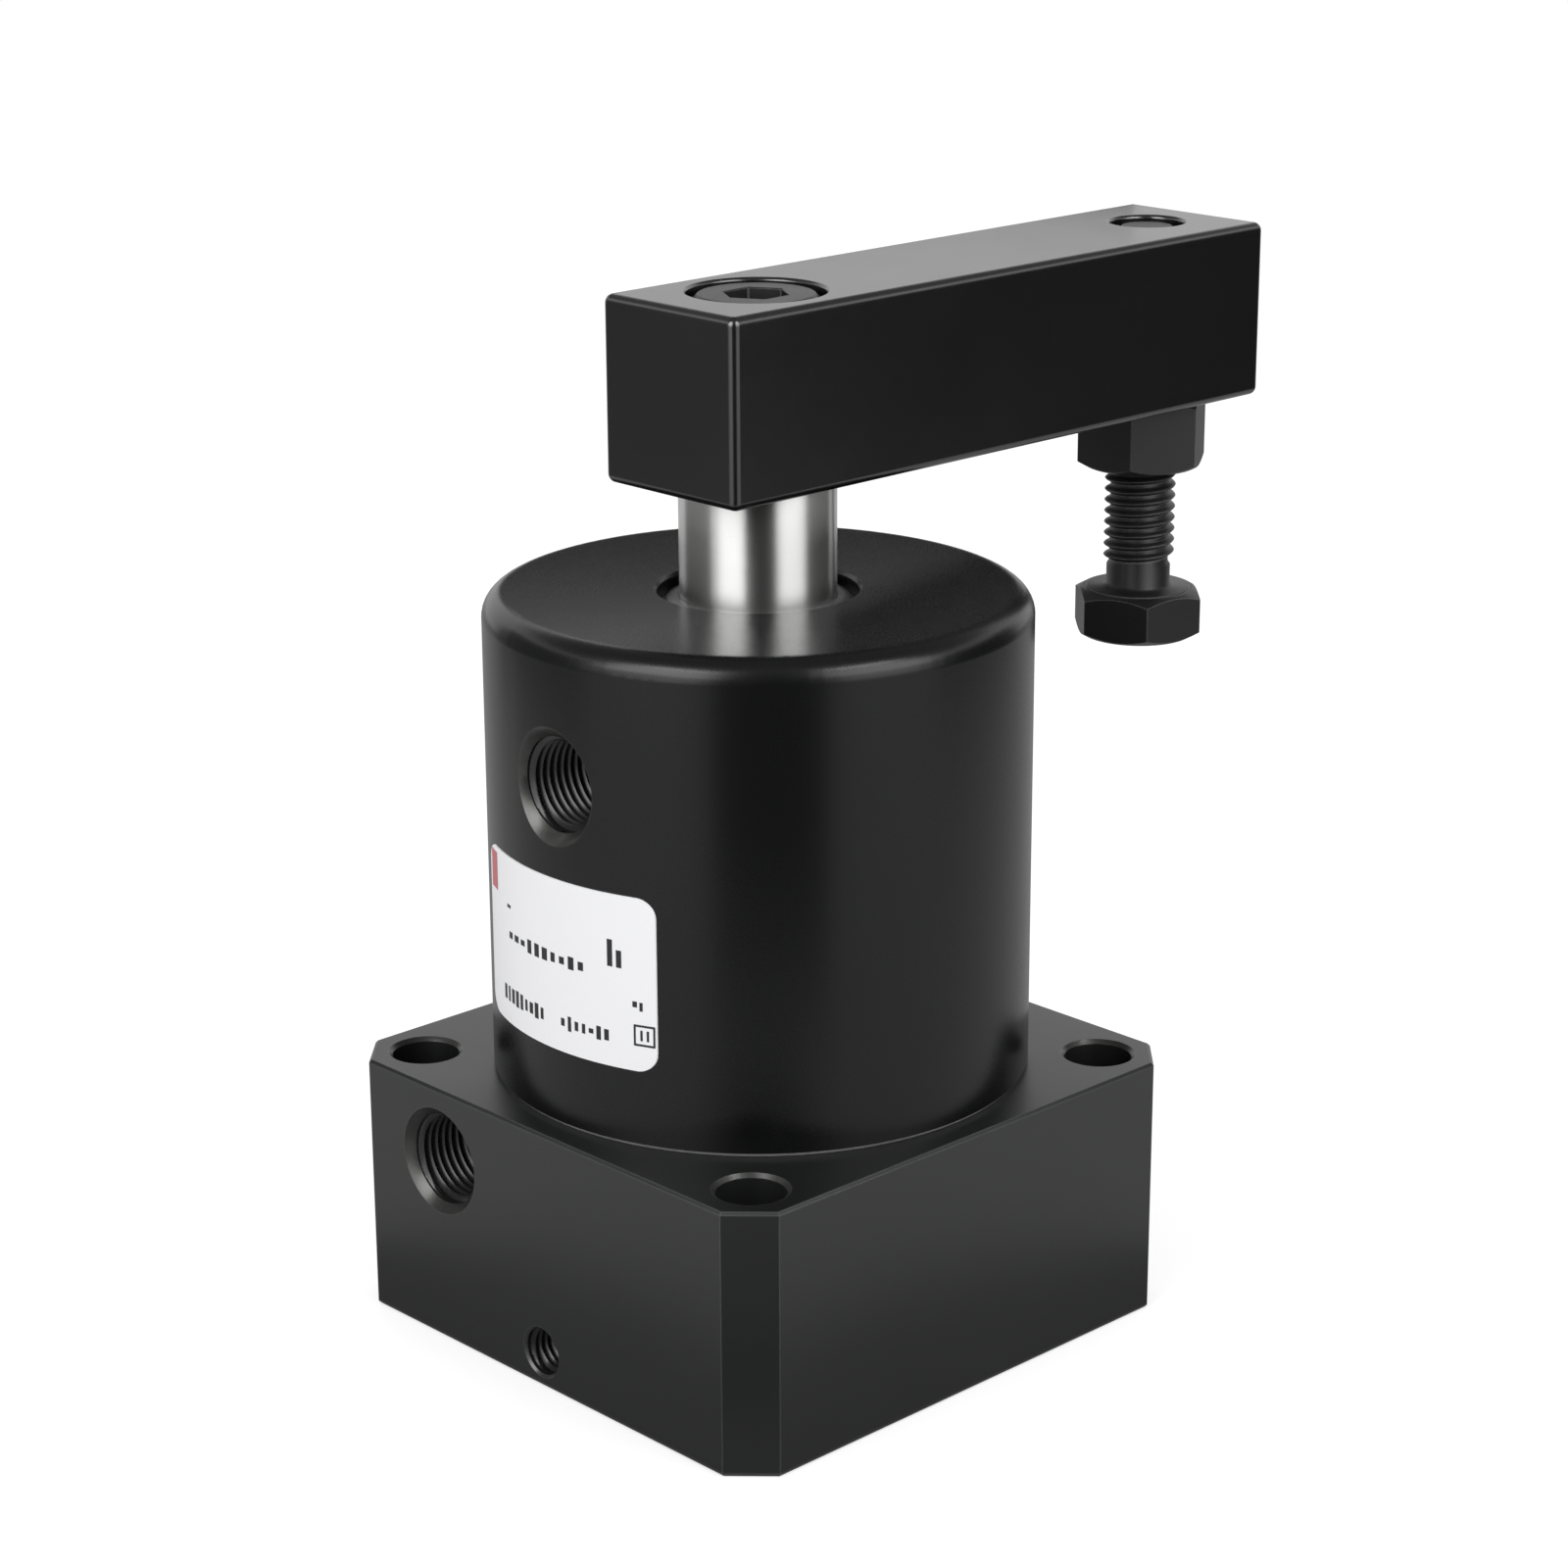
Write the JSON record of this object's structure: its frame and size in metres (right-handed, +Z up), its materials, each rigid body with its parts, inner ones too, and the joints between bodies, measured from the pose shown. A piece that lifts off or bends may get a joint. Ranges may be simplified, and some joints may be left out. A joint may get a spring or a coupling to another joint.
{
  "type": "rotary clamp cylinder",
  "caption": "Compact pneumatic swing clamp cylinder: square foot, round barrel, swinging rod with a clamp arm and an adjustable clamp bolt.",
  "frame": {"origin": "centre of the foot's underside, on the axis of the rod and of the mounting holes", "axes": "+Z up the rod; +X along the arm in the clamped position; both air ports face -X"},
  "size_m": [0.098, 0.062, 0.1087],
  "materials": {
    "black_anodised": "matt black anodised",
    "bare_aluminium": "turned",
    "black_arm_steel": "satin black",
    "hard_chrome": "ground and polished",
    "black_oxide": "black oxide, slightly oiled",
    "ground_steel": "ground",
    "bronze": "turned",
    "black_rubber": "matt",
    "wear_plastic": "plain",
    "label_film": "printed film"
  },
  "bodies": {
    "housing": {"base_block": "black_anodised", "barrel": "black_anodised", "end_cap": "bare_aluminium", "end_cap_seal": "black_rubber", "barrel_seal": "black_rubber", "cap_lock_screw": "black_oxide", "cap_bumper": "black_rubber", "head_bumper": "black_rubber", "guide_bush": "bronze", "rod_seal": "black_rubber", "rod_wiper": "black_rubber", "guide_shaft": "ground_steel", "guide_shaft_screw": "black_oxide", "guide_shaft_dowel": "ground_steel", "rating_label": "label_film"},
    "piston": {"piston": "bare_aluminium", "wear_ring": "wear_plastic", "piston_seal": "black_rubber", "piston_rod_seal": "black_rubber"},
    "rod": {"piston_rod": "hard_chrome", "guide_pins": "ground_steel", "piston_retaining_ring": "black_oxide", "clamp_arm": "black_arm_steel", "arm_screw": "black_oxide", "locknut": "black_oxide"},
    "clamp_bolt": {"clamp_bolt": "black_oxide"}
  },
  "joints": [
    {"name": "piston_stroke", "type": "slide", "parent": "housing", "child": "piston", "axis": [0, 0, 1], "range_m": [0, 0.025]},
    {"name": "rod_swing", "type": "hinge", "parent": "piston", "child": "rod", "pos_m": [0, 0, 0.02], "axis": [0, 0, -1], "range_deg": [0, 90]},
    {"name": "clamp_bolt_height", "type": "slide", "parent": "rod", "child": "clamp_bolt", "axis": [0, 0, 1], "range_m": [-0.008, 0.0135]}
  ]
}
